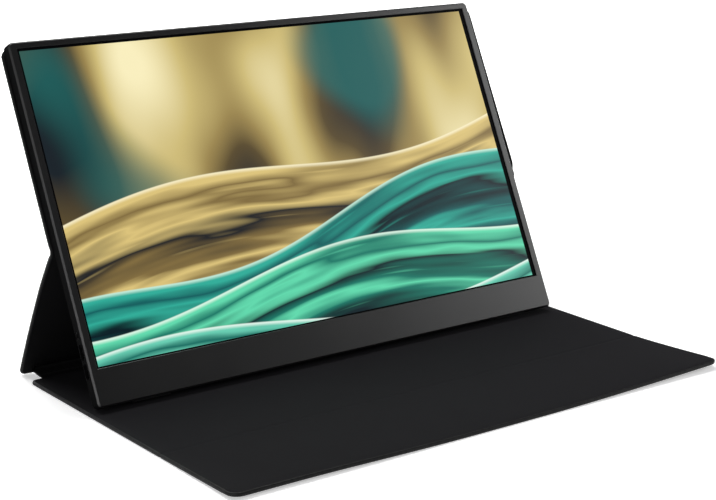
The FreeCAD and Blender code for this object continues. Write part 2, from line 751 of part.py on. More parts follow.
def cover_parts():
    """All cover panels in the standing pose, by node name."""
    parts = {}

    def add(name, pieces, y, z, turn, x=0):
        for kind, shape in zip(("skin", "board", "lining"), pieces):
            parts[name + "_" + kind] = put(shape, y, z, turn, x)

    fold = ("bead", None, 0)
    cup = ("cup", None, 0)
    flap = panel(COVER_HALF, FLAP_L, BOARD_T, ("free", None, FLAP_CORNER_R), cup)
    flap_y = CREASE_Y - FLAP_L
    flap_board, flap_plates = board_with_plates(
        flap[1], bar_plates(FLAP_MAGNET_PITCH, FLAP_MAGNET_L, FLAP_MAGNET_W, HEM + FLAP_MAGNET_IN))
    add("flap", (flap[0], flap_board, flap[2]), flap_y, HINGE_Z, 0)
    parts["flap_magnets"] = put(flap_plates, flap_y, HINGE_Z, 0)

    base = panel(COVER_HALF, BASE_L, BOARD_T, fold, ("bead", BASE_EAR, BASE_CORNER_R))
    base_board, seat_plates = board_with_plates(
        base[1], bar_plates(SEAT_MAGNET_PITCH, SEAT_MAGNET_L, SEAT_MAGNET_W, SEAT_Y - CREASE_Y))
    add("base", (base[0], base_board, base[2]), CREASE_Y, HINGE_Z, 0)
    parts["seat_magnets"] = put(seat_plates, CREASE_Y, HINGE_Z, 0)

    spine = panel(SPINE_HALF, SPINE_L, SPINE_BOARD_T, cup, fold)
    add("spine", spine, REAR_Y, HINGE_Z, SPINE_SLOPE, BACK_SHIFT / 2)

    strut = panel(BACK_HALF, STRUT_L, BOARD_T, ("cup", STRUT_EAR, STRUT_CORNER_R), fold)
    add("strut", strut, FOOT_Y, FOOT_Z, STRUT_SLOPE, BACK_SHIFT)

    upper = panel(BACK_HALF, UPPER_L, BOARD_T, cup, ("free", None, UPPER_CORNER_R))
    half_l = MAGNET_L / 2
    half_w = MAGNET_W / 2
    centres = [(x + MONITOR_SHIFT - BACK_SHIFT, z - APEX_UP) for x, z in magnet_places()]
    keepers = [block(x - half_l, x + half_l, y - half_w, y + half_w, -PLATE_T / 2, PLATE_T / 2)
               for x, y in centres]
    upper_board, upper_plates = board_with_plates(upper[1], keepers)
    add("upper", (upper[0], upper_board, upper[2]), APEX_Y, APEX_Z, 90 - TILT, BACK_SHIFT)
    parts["upper_magnets"] = put(upper_plates, APEX_Y, APEX_Z, 90 - TILT, BACK_SHIFT)
    return parts


def monitor_parts():
    """All pieces of the monitor in the standing pose, by node name."""
    parts = {
        "front_bezel": front_bezel(),
        "rear_casing": rear_casing(),
        "lcd_panel": lcd_panel(),
        "optical_films": stack_sheet(GLASS_BACK, FILMS_BACK),
        "light_guide": stack_sheet(FILMS_BACK, GUIDE_BACK),
        "reflector_sheet": stack_sheet(GUIDE_BACK, REFLECTOR_BACK),
        "panel_tray": panel_tray(),
        "light_bar": light_bar(),
        "driver_board": driver_board(),
        "driver_flexes": driver_flexes(),
        "main_board": main_board(),
        "board_chips": board_chips(),
        "board_screws": board_screws(),
        "usb_c_sockets": usb_c_sockets(),
        "usb_c_tongues": usb_c_tongues(),
        "audio_socket": audio_socket(),
        "panel_cable": panel_cable(),
        "button_ribbon": button_ribbon(),
        "button_board": button_board(),
        "button_switches": button_switches(),
        "power_button": side_key(POWER_UP),
        "up_button": side_key(UP_UP),
        "down_button": side_key(DOWN_UP),
        "casing_magnets": casing_magnets(),
        "rubber_feet": rubber_feet(),
    }
    return {name: on_monitor(shape) for name, shape in parts.items()}


os.makedirs("parts", exist_ok=True)
for name, shape in {**monitor_parts(), **cover_parts()}.items():
    print(name, "valid" if shape.isValid() else "NOT VALID", len(shape.Solids), round(shape.Volume, 1))
    shape.exportStep("parts/" + name + ".step")
for label, y, z in (("crease", CREASE_Y, HINGE_Z), ("rear", REAR_Y, HINGE_Z), ("foot", FOOT_Y, FOOT_Z),
                    ("apex", APEX_Y, APEX_Z)):
    print("pivot", label, round(y, 4), round(z, 4))
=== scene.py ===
import json
import math

import bpy
import numpy as np
from mathutils import Matrix, Vector

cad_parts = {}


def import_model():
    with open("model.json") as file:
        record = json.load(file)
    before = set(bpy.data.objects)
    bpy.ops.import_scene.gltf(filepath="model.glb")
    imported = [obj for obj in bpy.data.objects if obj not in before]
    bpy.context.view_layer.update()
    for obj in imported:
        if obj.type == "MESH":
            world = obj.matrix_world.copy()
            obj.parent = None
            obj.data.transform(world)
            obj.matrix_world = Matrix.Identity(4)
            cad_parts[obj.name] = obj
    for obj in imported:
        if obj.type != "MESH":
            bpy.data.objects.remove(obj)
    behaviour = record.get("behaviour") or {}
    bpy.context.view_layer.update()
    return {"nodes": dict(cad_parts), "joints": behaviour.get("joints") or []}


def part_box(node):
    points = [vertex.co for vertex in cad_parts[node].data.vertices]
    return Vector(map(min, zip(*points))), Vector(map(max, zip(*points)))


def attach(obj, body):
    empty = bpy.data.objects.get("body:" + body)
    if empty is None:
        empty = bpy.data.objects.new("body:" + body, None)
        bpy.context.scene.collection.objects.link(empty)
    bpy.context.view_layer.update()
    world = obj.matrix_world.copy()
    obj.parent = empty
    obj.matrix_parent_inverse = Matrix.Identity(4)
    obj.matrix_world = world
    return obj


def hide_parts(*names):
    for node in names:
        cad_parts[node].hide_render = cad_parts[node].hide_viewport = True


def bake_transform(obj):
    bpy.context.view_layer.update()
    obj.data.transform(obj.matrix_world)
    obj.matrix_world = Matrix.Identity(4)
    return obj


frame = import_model()

# Lengths in this script are metres, written through this unit where millimetres read better
MM = 0.001

# Camera: the photograph's place, turn and lens, for a picture 716 wide and 500 high
CAMERA_AT = (-658.35 * MM, -860.48 * MM, 363.7 * MM)
CAMERA_AZIMUTH = 37.70
CAMERA_ELEVATION = 14.99
CAMERA_ROLL = 0.71
SENSOR = 36.0
FOCAL_SHARE = 1787.4 / 716

# Cover sheets
PANEL_T = 2.4 * MM
SPINE_T = 2.0 * MM
EDGE_R = 0.9 * MM
LINING_T = 0.5 * MM
LINING_PROUD = 0.05 * MM
LINING_INSET = 1.2 * MM
LINING_EDGE_R = 0.2 * MM
FOLD_REACH = 5.0 * MM
FOLD_ROWS_REACH = 1.5 * FOLD_REACH
FOLD_STOP = 3.0 * MM
STRIP_T = 1.0 * MM
STRIP_TUCK = 3.5 * MM
SPINE_PROUD = 2.4 * MM
EAR_GAP = 0.6 * MM
EAR_ROUND = 0.9 * MM
STRUT_EAR = -2.2 * MM
STRUT_BOW = 1.2 * MM
BACK_PROUD_TOP = 0.25 * MM
BACK_PROUD_FOLD = 1.8 * MM
BACK_PROUD_FROM = 4.0 * MM
BACK_PROUD_ROUND = 6.0 * MM
STRUT_PROUD = 0.8 * MM
STRUT_PROUD_ROUND = 30.0 * MM
BASE_EAR = 2.6 * MM
FLAP_PROUD = 0.9 * MM
FLAP_PROUD_RUN = 120.0 * MM
FLAP_FLARE = 1.6 * MM
FLAP_CORNER_R = 8.0 * MM
UPPER_CORNER_R = 6.0 * MM
STRUT_CORNER_R = 3.8 * MM
BASE_CORNER_R = 4.0 * MM
SPINE_CORNER_R = 0.8 * MM
CREASE_DEPTH = 0.25 * MM
CREASE_HALF = 1.2 * MM
APEX_DEPTH = 0.35 * MM
APEX_HALF = 2.4 * MM

# Counts of grid lines in the sheets: round an edge, round a corner, over the rest of the width and the
# length, over an ear and over a fold; then how many times a corner's depth its draw-in reaches along the
# sheet, and the decimals at which two grid lines count as one
EDGE_STEPS = 6
CORNER_STEPS = 14
WIDTH_STEPS = 20
LENGTH_STEPS = 30
EAR_STEPS = 13
FOLD_STEPS = 41
DRAW_IN_REACH = 3
PLACE_DIGITS = 7

# The flap's front corners stand a little off the table, the right one more
LIFT_LEFT = 1.5 * MM
LIFT_LEFT_FROM = -20 * MM
LIFT_LEFT_RUN = 120 * MM
LIFT_RIGHT = 3.5 * MM
LIFT_RIGHT_FROM = 35 * MM
LIFT_RIGHT_POWER = 1.5
LIFT_POWER = 1.4

# Lit picture on the glass
PICTURE_W = 343.0 * MM
PICTURE_H = 193.59 * MM
PICTURE_SHIFT = -1.1 * MM
PICTURE_OFF = 0.03 * MM
PICTURE_FOOT = 7.5 * MM
PICTURE_GRID = (96, 54)

nodes = frame["nodes"]
hinges = [joint for joint in frame["joints"] if joint["type"] == "hinge"]
pivots = {hinge["name"]: np.array(hinge["pos_m"]) for hinge in hinges}


# Shader helpers

SEEN_RAYS = ("Is Camera Ray", "Is Glossy Ray", "Is Transmission Ray")
MIX_FACTOR, MIX_FIRST, MIX_SECOND = 0, 6, 7
MIX_COLOUR = 2
BLACK = (0.0, 0.0, 0.0)
WHITE = (1.0, 1.0, 1.0)


class Value:
    """A shader socket. Arithmetic on it adds Math nodes to its material."""

    def __init__(self, finish, socket):
        self.finish = finish
        self.socket = socket

    def math(self, operation, *others):
        """One Math node on this value and up to two others."""
        inputs = dict(enumerate((self,) + others))
        return self.finish.node("ShaderNodeMath", {"operation": operation}, inputs)

    def __add__(self, other):
        return self.math("ADD", other)

    __radd__ = __add__

    def __mul__(self, other):
        return self.math("MULTIPLY", other)

    __rmul__ = __mul__

    def __sub__(self, other):
        return self.math("SUBTRACT", other)

    def __rsub__(self, other):
        return self * -1 + other

    def __truediv__(self, other):
        return self.math("DIVIDE", other)

    def sin(self):
        return self.math("SINE")

    def least(self, other):
        return self.math("MINIMUM", other)

    def rise(self, low, high):
        """Smooth step from 0 at low to 1 at high."""
        settings = {"interpolation_type": "SMOOTHSTEP", "clamp": True}
        names = ("Value", "From Min", "From Max")
        return self.finish.node("ShaderNodeMapRange", settings, dict(zip(names, (self, low, high))))


class Finish:
    """A material, or the world, with the ways to add nodes to its tree."""

    def __init__(self, name, owner=None):
        self.block = owner or bpy.data.materials.new(name)
        self.block.use_nodes = True
        self.tree = self.block.node_tree
        if owner is None:
            self.shader = self.tree.nodes["Principled BSDF"]
            self.output = self.tree.nodes["Material Output"]

    def node(self, kind, settings=None, inputs=None, output=0):
        """Add a node of any kind: its settings first, then the values or links of its sockets."""
        made = self.tree.nodes.new(kind)
        for key, value in (settings or {}).items():
            if key == "stops":
                self.set_stops(made.color_ramp, value)
            else:
                setattr(made, key, value)
        for key, value in (inputs or {}).items():
            self.feed(made.inputs[key], value)
        return Value(self, made.outputs[output])

    def set_stops(self, ramp, stops):
        """Give a colour ramp its places and colours."""
        while len(ramp.elements) < len(stops):
            ramp.elements.new(1.0)
        for element, (place, colour) in zip(ramp.elements, stops):
            element.position = place
            element.color = (*colour, 1.0)

    def feed(self, socket, value):
        """Link a value to a socket, or set a constant on it."""
        if isinstance(value, Value):
            self.tree.links.new(value.socket, socket)
        elif socket.type == "RGBA" and len(value) == 3:
            socket.default_value = (*value, 1.0)
        else:
            socket.default_value = value

    def set(self, **inputs):
        """Set or link inputs of the main shader, named with _ for a space."""
        for key, value in inputs.items():
            self.feed(self.shader.inputs[key.replace("_", " ")], value)
        return self

    def place(self, coordinates="Object"):
        """Coordinates of the surface point."""
        return self.node("ShaderNodeTexCoord", output=coordinates)

    def noise(self, where, scale, detail=2.0, roughness=0.5):
        """Soft noise from 0 to 1."""
        inputs = {"Vector": where, "Scale": scale, "Detail": detail, "Roughness": roughness}
        return self.node("ShaderNodeTexNoise", None, inputs, "Fac")

    def cells(self, where, scale, feature):
        """Distance pattern of scattered cells."""
        inputs = {"Vector": where, "Scale": scale}
        return self.node("ShaderNodeTexVoronoi", {"feature": feature}, inputs, "Distance")

    def split(self, where):
        """First two parts of a vector."""
        parts = self.node("ShaderNodeSeparateXYZ", None, {"Vector": where})
        return parts, Value(self, parts.socket.node.outputs[1])

    def join(self, x, y):
        """Vector of two parts."""
        return self.node("ShaderNodeCombineXYZ", None, {"X": x, "Y": y})

    def ramp(self, factor, stops):
        """Colour by a value, through stops of a place and a colour."""
        return self.node("ShaderNodeValToRGB", {"stops": stops}, {"Fac": factor}, "Color")

    def mix(self, factor, first, second):
        """Colour between two colours."""
        inputs = {MIX_FACTOR: factor, MIX_FIRST: first, MIX_SECOND: second}
        return self.node("ShaderNodeMix", {"data_type": "RGBA"}, inputs, MIX_COLOUR)

    def dot(self, where, direction):
        """How far a place lies along a direction."""
        inputs = {0: where, 1: tuple(direction)}
        return self.node("ShaderNodeVectorMath", {"operation": "DOT_PRODUCT"}, inputs, "Value")

    def length(self, where):
        """Distance of a place from the origin."""
        return self.node("ShaderNodeVectorMath", {"operation": "LENGTH"}, {0: where}, "Value")

    def main_shader(self):
        """The main shader as a value that other nodes can take."""
        return Value(self, self.shader.outputs[0])

    def surface(self, shader):
        """Let another shader make the surface."""
        self.tree.links.new(shader.socket, self.output.inputs["Surface"])

    def seen(self):
        """1 for rays from the camera, in reflections and through glass, and 0 for the light on a surface."""
        ray = self.node("ShaderNodeLightPath").socket.node.outputs
        camera_ray, glossy_ray, clear_ray = (Value(self, ray[name]) for name in SEEN_RAYS)
        return (camera_ray + glossy_ray + clear_ray).least(1.0)

    def bump(self, height, distance):
        """Feed the shader's normal with a bump map of that real depth."""
        inputs = {"Strength": 1.0, "Distance": distance, "Height": height}
        return self.set(Normal=self.node("ShaderNodeBump", None, inputs))


# Surfaces


def smooth(t):
    """Smooth step: 3 t squared less 2 t cubed, held between 0 and 1."""
    t = np.clip(t, 0, 1)
    return t * t * (3 - 2 * t)


def quads(index):
    """Corner numbers of the four-sided faces of a grid of point numbers."""
    corners = (index[:-1, :-1], index[:-1, 1:], index[1:, 1:], index[1:, :-1])
    return np.stack(corners, -1).reshape(-1, 4)


def make_mesh(name, points, faces, uv=None):
    """Object from an array of points and an array of four-sided faces, with a UV pair per point."""
    mesh = bpy.data.meshes.new(name)
    mesh.vertices.add(len(points))
    mesh.vertices.foreach_set("co", points.astype(np.float32).ravel())
    mesh.loops.add(faces.size)
    mesh.loops.foreach_set("vertex_index", faces.astype(np.int32).ravel())
    mesh.polygons.add(len(faces))
    mesh.polygons.foreach_set("loop_start", np.arange(0, faces.size, 4, dtype=np.int32))
    mesh.update(calc_edges=True)
    mesh.polygons.foreach_set("use_smooth", np.ones(len(faces), bool))
    if uv is not None:
        layer = mesh.uv_layers.new(name="surface")
        layer.data.foreach_set("uv", uv[faces.ravel()].astype(np.float32).ravel())
    mesh.validate()
    made = bpy.data.objects.new(name, mesh)
    bpy.context.scene.collection.objects.link(made)
    return made


def end_curve(x, half, end, inward, radius, middle=None):
    """Where a panel ends at each place across it.

    The end is straight with round corners: near a side the line draws in by the radius less the root of the
    radius squared minus the way into the corner squared. Where a narrower strip joins, middle gives the
    strip's half width and where the panel ends between the ears, with a smooth step at each ear.
    """
    into = np.clip(np.abs(x) - (half - radius), 0, radius)
    line = end + inward * (radius - np.sqrt(np.maximum(radius**2 - into**2, 0)))
    if middle is None:
        return line
    strip_half, stop = middle
    ear = smooth((np.abs(x) - strip_half) / EAR_ROUND)
    return stop + (line - stop) * ear


def cosine_steps(length, count):
    """Steps from 0 to a length, close together at the start, as one less a cosine."""
    return length * (1 - np.cos(np.linspace(0, math.pi / 2, count)))


def columns(half, edge_r, radius, marks):
    """Places across a panel: close together at the sides, round the corners and at the marks."""
    edge = cosine_steps(edge_r, EDGE_STEPS)
    corner = edge_r + cosine_steps(radius, CORNER_STEPS)
    middle = np.linspace(0, half - edge_r - radius, WIDTH_STEPS)
    ears = [np.linspace(mark - EAR_ROUND, mark + 2 * EAR_ROUND, EAR_STEPS) for mark in marks]
    right = np.unique(np.round(np.concatenate([half - edge, half - corner, middle, *ears]), PLACE_DIGITS))
    right = right[right <= half]
    return np.concatenate([-right[:0:-1], right])


def rows(near, far, edge_r, folds):
    """Places along a panel: close together at both ends and at the folds."""
    ends = cosine_steps(edge_r, EDGE_STEPS)
    parts = [near + ends, far - ends, np.linspace(near + edge_r, far - edge_r, LENGTH_STEPS)]
    parts += [np.linspace(fold - FOLD_ROWS_REACH, fold + FOLD_ROWS_REACH, FOLD_STEPS) for fold in folds]
    places = np.unique(np.round(np.concatenate(parts), PLACE_DIGITS))
    return places[(places >= near) & (places <= far)]


def sheet(name, half, thick, edge_r, near, far, folds, place, level=0.0, dents=()):
    """Closed sheet with round edges and corners, bent about folds.

    A grid of places across (x) and along (s) fills the outline between the two end curves. Above and below
    it, the surface stands off the middle by half the thickness times the root of one less the square of
    (1 - d / edge radius), where d is the distance to the outline. A dent is a bell curve across its fold: it
    thins a sheet that lies on the middle from both sides, and sinks one that lies off it. place turns x, s
    and the height into points, and level moves the sheet off the middle.
    """
    near_end, near_r, near_middle = near
    far_end, far_r, far_middle = far
    marks = [middle[0] for middle in (near_middle, far_middle) if middle]
    x = columns(half, edge_r, max(near_r, far_r), marks)
    line_near = end_curve(x, half, near_end, 1, near_r, near_middle)
    line_far = end_curve(x, half, far_end, -1, far_r, far_middle)
    s = rows(near_end, far_end, edge_r, folds)
    reach_near = DRAW_IN_REACH * np.ptp(line_near) + edge_r
    reach_far = DRAW_IN_REACH * np.ptp(line_far) + edge_r
    hold_near = np.clip(1 - (s - near_end) / reach_near, 0, 1)
    hold_far = np.clip(1 - (far_end - s) / reach_far, 0, 1)
    along = (s[:, None] + hold_near[:, None] * (line_near - near_end)[None, :]
             + hold_far[:, None] * (line_far - far_end)[None, :])
    across = np.broadcast_to(x, along.shape)
    slope_near = np.hypot(1, np.gradient(line_near, x))
    slope_far = np.hypot(1, np.gradient(line_far, x))
    inside = np.minimum(half - np.abs(across), (along - line_near) / slope_near)
    inside = np.clip(np.minimum(inside, (line_far - along) / slope_far), 0, edge_r)
    inside[[0, -1]] = 0
    inside[:, [0, -1]] = 0
    height = thick / 2 * np.sqrt(1 - (1 - inside / edge_r) ** 2)
    drop = sum(depth * np.exp(-((along - at) / width) ** 2) for at, depth, width in dents)
    top = place(across, along, level + height - drop)
    bottom = place(across, along, level - height + (drop if level == 0 else -drop))
    upper = np.arange(along.size).reshape(along.shape)
    lower = upper.copy()
    inner = lower[1:-1, 1:-1]
    lower[1:-1, 1:-1] = along.size + np.arange(inner.size).reshape(inner.shape)
    points = np.concatenate([top.reshape(-1, 3), bottom[1:-1, 1:-1].reshape(-1, 3)])
    flat = np.stack([across, along], -1)
    uv = np.concatenate([flat.reshape(-1, 2), flat[1:-1, 1:-1].reshape(-1, 2)])
    faces = np.concatenate([quads(upper), quads(lower)[:, ::-1]])
    return make_mesh(name, points, faces, uv)


def bent(pivot, before, after, middle=0.0):
    """Placing rule for a sheet folded at one pivot: x runs across from its middle, s along it, h off it.

    The point is the pivot, plus s along and h across a direction whose angle goes from before to after by
    a smooth step over the fold's reach to each side.
    """
    def place(x, s, h):
        turn = before + (after - before) * smooth((s + FOLD_REACH) / (2 * FOLD_REACH))
        y = pivot[1] + s * np.cos(turn) - h * np.sin(turn)
        z = pivot[2] + s * np.sin(turn) + h * np.cos(turn)
        return np.stack([middle + x, y, z], -1)

    return place


def node_points(name):
    """Corner points of a CAD node."""
    mesh = nodes[name].data
    points = np.zeros(len(mesh.vertices) * 3, np.float32)
    mesh.vertices.foreach_get("co", points)
    return points.reshape(-1, 3).astype(float)


# Places taken from the frame

crease = pivots["flap_fold"]
rear = pivots["spine_fold"]
foot = pivots["stand_fold"]
apex = pivots["apex_fold"]


def span(name):
    """Middle and half width of a CAD node."""
    low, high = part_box(name)
    return (low.x + high.x) / 2, (high.x - low.x) / 2


cover_half = span("base_skin")[1]
spine_middle, spine_half = span("spine_skin")
back_middle, back_half = span("upper_skin")
flap_length = crease[1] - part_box("flap_skin")[0].y
base_length = rear[1] - crease[1]
spine_turn = math.atan2(foot[2] - rear[2], foot[1] - rear[1])
strut_turn = math.atan2(apex[2] - foot[2], apex[1] - foot[1])
spine_length = math.hypot(foot[1] - rear[1], foot[2] - rear[2])
strut_length = math.hypot(apex[1] - foot[1], apex[2] - foot[2])

glass = node_points("lcd_panel")
glass_middle = (glass.min(0) + glass.max(0)) / 2
spread = np.linalg.svd(glass - glass.mean(0), full_matrices=False)[2]
screen_up = spread[1] * np.sign(spread[1][2])
screen_out = spread[2] * -np.sign(spread[2][1])
screen_across = np.array([1.0, 0.0, 0.0])
upper_turn = math.atan2(screen_up[2], screen_up[1])
upper_length = ((node_points("upper_skin") - apex) @ screen_up).max()
bezel_front = (node_points("front_bezel") @ screen_out).max()


# Finishes


# Plastic: patches per metre, their darkest share of the colour, and how far the grain and the patches move
# the roughness
PATCHES = 18.0
PATCH_SHADE = 0.82
GRAIN_ROUGHNESS = 0.16
PATCH_ROUGHNESS = 0.06

# Matt casing, and the bezel's satin face, which ends this far behind its front
CASING_COLOUR = (0.004, 0.004, 0.0043)
CASING_ROUGHNESS = 0.85
CASING_SPECULAR = 0.02
BEZEL_COLOUR = (0.006, 0.006, 0.0064)
FACE_ENDS = (0.9 * MM, 1.1 * MM)

# Metal: the grain's stretch along X, its darkest share, how far it moves the roughness, and its depth
ROLLED = (0.08, 1.0, 1.0)
ROLLED_SHADE = 0.8
ROLLED_ROUGHNESS = 0.2
ROLLED_DEPTH = 0.01 * MM

# Leather cloth: pebble sizes and their shares of the height, the painted shade's colour in the creases and
# the pebbles' own colour, and roughness with the pebbles' polish and patches of wear
PEBBLE = 0.9 * MM
PEBBLE_SHARE = 0.75
SMALL_PEBBLE = 0.38 * MM
SMALL_PEBBLE_SHARE = 0.35
CREASE_SHADE_FADE = (0.2, 0.8)
PEBBLE_DEPTH = 0.06 * MM
CREASE_PAINTED_SHADE = (0.003, 0.003, 0.0032)
PEBBLE_COLOUR = (0.008, 0.008, 0.0084)
LEATHER_ROUGHNESS = 0.58
PEBBLE_POLISH = 0.14
WEAR_PATCHES = 30.0
WEAR_ROUGHNESS = 0.12

# Lining: fibre size, tufts and broad patches per metre, their shares of the tone, the darkest and lightest
# shares of the colour, roughness, and the nap's height
FIBRE = 0.22 * MM
TUFTS = 45.0
BROAD_PATCHES = 9.0
FIBRE_SHARE, TUFT_SHARE, BROAD_SHARE = 0.35, 0.35, 0.3
NAP_SHADES = (0.75, 1.25)
LINING_ROUGHNESS = 0.86
FIBRE_ROUGHNESS = 0.1
TUFT_HEIGHT = 0.5
NAP_DEPTH = 0.03 * MM

# Circuit board: size of the track pattern, where a track's edge lies in it, and the track's height
TRACKS = 2.5 * MM
TRACK_EDGE = (0.04, 0.1)
TRACK_DEPTH = 0.02 * MM
TRACK_ROUGHNESS = 0.38
MASK_ROUGHNESS = 0.12

# Films: ripples per metre, their darkest share, how far they move the roughness, and their depth
RIPPLES = 60.0
RIPPLE_SHADE = 0.9
RIPPLE_ROUGHNESS = 0.1
RIPPLE_DEPTH = 0.02 * MM

# Panel glass: size and depth of its tooth, its two tones
TOOTH = 0.12 * MM
TOOTH_DEPTH = 0.004 * MM
TOOTH_TONES = ((0.002, 0.002, 0.0025), (0.004, 0.004, 0.005))
TOOTH_ROUGHNESS = 0.1
GLASS_ROUGHNESS = 0.3


def shade(colour, share):
    """A colour times a share."""
    return tuple(part * share for part in colour)


def plastic(name, colour, roughness, grain, depth, specular):
    """Moulded plastic: a fine even texture, with roughness and tone that drift a little."""
    made = Finish(name)
    where = made.place()
    fine = made.noise(where, 1 / grain, detail=3.0, roughness=0.6)
    patch = made.noise(where, PATCHES)
    uneven = (fine - 0.5) * GRAIN_ROUGHNESS + (patch - 0.5) * PATCH_ROUGHNESS
    made.set(Base_Color=made.mix(patch, shade(colour, PATCH_SHADE), colour))
    made.set(Roughness=uneven + roughness, Specular_IOR_Level=specular)
    return made.bump(fine, depth)


def bezel_plastic(name):
    """Satin plastic on the bezel's face and chamfer, and the casing's matt one on its outer sides."""
    made = plastic(name, BEZEL_COLOUR, roughness=0.31, grain=0.16 * MM, depth=0.004 * MM, specular=0.5)
    behind = bezel_front - made.dot(made.place(), screen_out)
    matt = {"Base Color": CASING_COLOUR, "Roughness": CASING_ROUGHNESS, "Specular IOR Level": CASING_SPECULAR}
    side = made.node("ShaderNodeBsdfPrincipled", None, matt)
    parts = {0: behind.rise(*FACE_ENDS), 1: made.main_shader(), 2: side}
    made.surface(made.node("ShaderNodeMixShader", None, parts))
    return made


def metal(name, colour, roughness, grain):
    """Bare metal with a rolled grain along X."""
    made = Finish(name)
    where = made.node("ShaderNodeMapping", None, {"Vector": made.place(), "Scale": ROLLED})
    rolled = made.noise(where, 1 / grain, detail=4.0, roughness=0.65)
    made.set(Base_Color=made.mix(rolled, shade(colour, ROLLED_SHADE), colour), Metallic=1.0)
    made.set(Roughness=roughness + (rolled - 0.5) * ROLLED_ROUGHNESS)
    return made.bump(rolled, ROLLED_DEPTH)


def leather(name):
    """Coated leather cloth: small rounded pebbles, and fine creases between them painted darker as shade."""
    made = Finish(name)
    where = made.place("UV")
    pebble = made.cells(where, 1 / PEBBLE, "SMOOTH_F1")
    small = made.cells(where, 1 / SMALL_PEBBLE, "SMOOTH_F1")
    wear = made.noise(where, WEAR_PATCHES, detail=3.0)
    height = 1 - (pebble * PEBBLE_SHARE + small * SMALL_PEBBLE_SHARE)
    # Painted shade: the creases between the pebbles are coloured darker than the pebble tops
    made.set(Base_Color=made.mix(height.rise(*CREASE_SHADE_FADE), CREASE_PAINTED_SHADE, PEBBLE_COLOUR))
    made.set(Roughness=LEATHER_ROUGHNESS - height * PEBBLE_POLISH + (wear - 0.5) * WEAR_ROUGHNESS)
    made.set(Specular_IOR_Level=0.15)
    return made.bump(height, PEBBLE_DEPTH)


def brushed_cloth(name, colour):
    """Napped lining: very fine fibres with a soft uneven nap."""
    made = Finish(name)
    where = made.place("UV")
    fibre = made.noise(where, 1 / FIBRE, detail=4.0, roughness=0.7)
    tuft = made.noise(where, TUFTS, detail=4.0, roughness=0.6)
    broad = made.noise(where, BROAD_PATCHES)
    tone = fibre * FIBRE_SHARE + tuft * TUFT_SHARE + broad * BROAD_SHARE
    darkest, lightest = (shade(colour, share) for share in NAP_SHADES)
    made.set(Base_Color=made.mix(tone, darkest, lightest))
    made.set(Roughness=LINING_ROUGHNESS + (fibre - 0.5) * FIBRE_ROUGHNESS, Specular_IOR_Level=0.08)
    return made.bump(fibre + tuft * TUFT_HEIGHT, NAP_DEPTH)


def board(name, colour, track):
    """Circuit board: solder mask over faint copper tracks."""
    made = Finish(name)
    mask = made.cells(made.place(), 1 / TRACKS, "DISTANCE_TO_EDGE").rise(*TRACK_EDGE)
    made.set(Base_Color=made.mix(mask, track, colour), Roughness=TRACK_ROUGHNESS + mask * MASK_ROUGHNESS)
    return made.bump(mask, -TRACK_DEPTH)


def sheet_film(name, colour, roughness):
    """Optical film or flex: an even sheet with a faint ripple."""
    made = Finish(name)
    ripple = made.noise(made.place(), RIPPLES)
    made.set(Base_Color=made.mix(ripple, shade(colour, RIPPLE_SHADE), colour))
    made.set(Roughness=roughness + (ripple - 0.5) * RIPPLE_ROUGHNESS)
    return made.bump(ripple, RIPPLE_DEPTH)


def glass_black(name):
    """Dark panel glass with a fine anti-glare tooth."""
    made = Finish(name)
    tooth = made.noise(made.place(), 1 / TOOTH)
    made.set(Base_Color=made.mix(tooth, *TOOTH_TONES), Specular_IOR_Level=0.01)
    made.set(Roughness=GLASS_ROUGHNESS + (tooth - 0.5) * TOOTH_ROUGHNESS)
    return made.bump(tooth, TOOTH_DEPTH)


# Waves of the lit picture, back to front: height at the left, slope, swing, pace, phase, depth, then the
# colours of the rim, the lit folds, the body and the dark folds
WAVES = (
    (0.42, 0.12, 0.06, 3.1, 0.4, 0.40,
     (0.98, 0.90, 0.62), (0.72, 0.55, 0.20), (0.22, 0.15, 0.05), (0.012, 0.014, 0.018)),
    (0.17, 0.17, 0.05, 4.0, 2.2, 0.30,
     (0.62, 0.90, 0.76), (0.03, 0.42, 0.32), (0.005, 0.11, 0.11), (0.001, 0.010, 0.016)),
    (0.13, 0.06, 0.055, 3.4, 4.4, 0.26,
     (0.82, 0.98, 0.86), (0.12, 0.70, 0.42), (0.008, 0.18, 0.13), (0.002, 0.014, 0.02)),
    (-0.02, 0.05, 0.06, 2.9, 1.0, 0.22,
     (0.86, 0.97, 0.90), (0.14, 0.62, 0.45), (0.008, 0.15, 0.12), (0.002, 0.012, 0.018)),
)
GLOW_STOPS = ((0.32, (0.010, 0.016, 0.022)), (0.44, (0.10, 0.07, 0.028)), (0.53, (0.33, 0.24, 0.08)),
              (0.63, (0.62, 0.50, 0.19)), (0.78, (0.95, 0.86, 0.52)))
GLOW_TEAL = (0.015, 0.14, 0.13)
GLOW_LAID = {"Scale": (1.0, 0.45, 1.0), "Rotation": (0.0, 0.0, 0.5), "Location": (3.1, 0.7, 0.0)}
GLOW_SCALE = 2.6
GLOW_MIDDLE = 0.8
GLOW_FALL = 0.12
TEAL_SCALE = 1.7
TEAL_EDGE = (0.52, 0.68)
TEAL_SHARE = 0.8
FOLD_PLACES = (0.0, 0.16, 0.28, 0.44, 0.6, 0.7, 0.82, 1.0)

# Threads and glints: stretch along and across the wave, scale, and how much they do
THREAD_STRETCH = (0.9, 9.0)
THREAD_SCALE = 1.6
THREAD_SWAY = 0.7
GLINT_STRETCH = (1.3, 30.0)
GLINT_SCALE = 1.7
GLINT_EDGE = (0.6, 0.78)
GLINT_SHARE = 0.45
RIM_DEPTH = 0.016
RIM_SHARE = 0.9
CREST_EDGE = (-0.002, 0.003)


